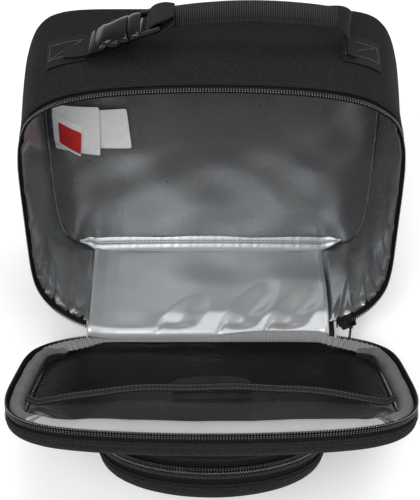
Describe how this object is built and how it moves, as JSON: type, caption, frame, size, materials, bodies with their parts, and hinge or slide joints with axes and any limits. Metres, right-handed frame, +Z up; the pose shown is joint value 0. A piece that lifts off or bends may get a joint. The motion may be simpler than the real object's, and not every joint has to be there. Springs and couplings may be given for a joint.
{
  "type": "insulated cooler bag",
  "caption": "Small soft insulated lunch bag with a zipped fold-down lid, a round zipped front pocket, a silver liner and a webbing handle with a side-release buckle.",
  "frame": {"origin": "on the ground, in the middle of the space that the bag fills with its lid open", "axes": "+X to the viewer's right, +Y to the back, from the open front to the back panel, +Z up"},
  "size_m": [0.256, 0.3004, 0.2541],
  "materials": {
    "black_fabric": "heathered woven polyester, matt",
    "zip_tape": "woven tape, matt",
    "zip_coil": "glossy coil teeth",
    "zip_metal": "black lacquer",
    "foam": null,
    "silver_liner": "silver-grey film on cloth, semi-gloss",
    "lid_liner": "dark grey film on cloth, semi-gloss",
    "grey_lining": "light grey padded cloth",
    "grey_binding": "ribbed grosgrain",
    "mesh": "black knitted mesh",
    "mesh_edge": "black elastic binding",
    "hook_and_loop": "black hook and loop",
    "label": "white woven label, plain",
    "webbing": "ribbed webbing",
    "buckle_plastic": "glossy moulded acetal"
  },
  "bodies": {
    "bag_body": {"outer_gusset": "black_fabric", "back_panel": "black_fabric", "hinge_fabric": "black_fabric", "gusset_foam": "foam", "back_foam": "foam", "liner_bottom": "silver_liner", "liner_wrap": "silver_liner", "liner_back": "silver_liner", "liner_seam_ridge": "silver_liner", "care_label_1": "label", "care_label_2": "label", "care_label_3": "label", "body_zip_tape": "zip_tape", "body_zip_coil": "zip_coil", "handle_patch_left": "webbing", "handle_patch_right": "webbing"},
    "lid": {"lid_side_wall": "black_fabric", "lid_front_panel": "black_fabric", "lid_foam": "foam", "lid_liner": "lid_liner", "lid_border_roll": "grey_lining", "hinge_binding": "grey_binding", "lid_zip_tape": "zip_tape", "lid_zip_coil": "zip_coil", "mesh_pocket": "mesh", "mesh_binding": "mesh_edge", "closure_strip_on_mesh": "hook_and_loop", "closure_strip_on_liner": "hook_and_loop", "pocket_wall": "black_fabric", "pocket_zip_tape_lower": "zip_tape", "pocket_zip_coil_lower": "zip_coil", "pocket_hinge_fabric": "black_fabric"},
    "pocket_cap": {"pocket_cap_band": "black_fabric", "pocket_zip_tape_upper": "zip_tape", "pocket_zip_coil_upper": "zip_coil", "pocket_lip_fabric": "black_fabric", "pocket_face": "black_fabric", "pocket_foam": "foam"},
    "main_slider": {"main_zip_slider": "zip_metal"},
    "main_pull": {"main_zip_pull": "zip_metal"},
    "pocket_slider": {"pocket_zip_slider": "zip_metal"},
    "pocket_pull": {"pocket_zip_pull": "zip_metal"},
    "handle": {"handle_grip": "webbing", "handle_strap_right": "webbing", "handle_strap_loop": "webbing", "buckle_male": "buckle_plastic"},
    "handle_left": {"handle_strap_left": "webbing", "buckle_female": "buckle_plastic"},
    "prong_front": {"buckle_prong_front": "buckle_plastic"},
    "prong_rear": {"buckle_prong_rear": "buckle_plastic"}
  },
  "joints": [
    {"name": "lid_hinge", "type": "hinge", "parent": "bag_body", "child": "lid", "pos_m": [0, 0.01632, 0.01709], "axis": [-1, 0, 0], "range_deg": [0, 59.2]},
    {"name": "pocket_cap_hinge", "type": "hinge", "parent": "lid", "child": "pocket_cap", "pos_m": [0, -0.03219, 0.00988], "axis": [1, 0, 0], "range_deg": [0, 40]},
    {"name": "pocket_slider_travel", "type": "hinge", "parent": "lid", "child": "pocket_slider", "pos_m": [0, -0.08487, 0.06193], "axis": [0, -0.6734, -0.7393], "range_deg": [0, 280]},
    {"name": "pocket_pull_swing", "type": "hinge", "parent": "pocket_slider", "child": "pocket_pull", "pos_m": [0.04995, -0.04107, 0.02162], "axis": [0, -0.6734, -0.7393], "range_deg": [-47, 127]},
    {"name": "main_slider_travel", "type": "hinge", "parent": "bag_body", "child": "main_slider", "pos_m": [0.068, 0.02791, 0.07392], "axis": [0, -0.9798, 0.1999], "range_deg": [0, 58]},
    {"name": "main_pull_swing", "type": "hinge", "parent": "main_slider", "child": "main_pull", "pos_m": [0.10149, 0.01984, 0.02087], "axis": [0, -0.9798, 0.1999], "range_deg": [-55, 119]},
    {"name": "handle_swing", "type": "hinge", "parent": "bag_body", "child": "handle", "pos_m": [0, 0.10573, 0.21522], "axis": [1, 0, 0], "range_deg": [-28, 28]},
    {"name": "handle_left_swing", "type": "hinge", "parent": "bag_body", "child": "handle_left", "pos_m": [0, 0.10573, 0.21522], "axis": [1, 0, 0], "range_deg": [-28, 28]},
    {"name": "prong_front_squeeze", "type": "hinge", "parent": "handle", "child": "prong_front", "pos_m": [-0.05004, 0.10054, 0.24229], "axis": [0.3746, -0.1854, -0.9085], "range_deg": [0, 7], "stiffness_Nm_per_rad": 0.08},
    {"name": "prong_rear_squeeze", "type": "hinge", "parent": "handle", "child": "prong_rear", "pos_m": [-0.05004, 0.12112, 0.23809], "axis": [-0.3746, 0.1854, 0.9085], "range_deg": [0, 7], "stiffness_Nm_per_rad": 0.08}
  ],
  "couplings": [
    {"joint": "handle_left_swing", "follows": "handle_swing", "ratio": 1}
  ]
}
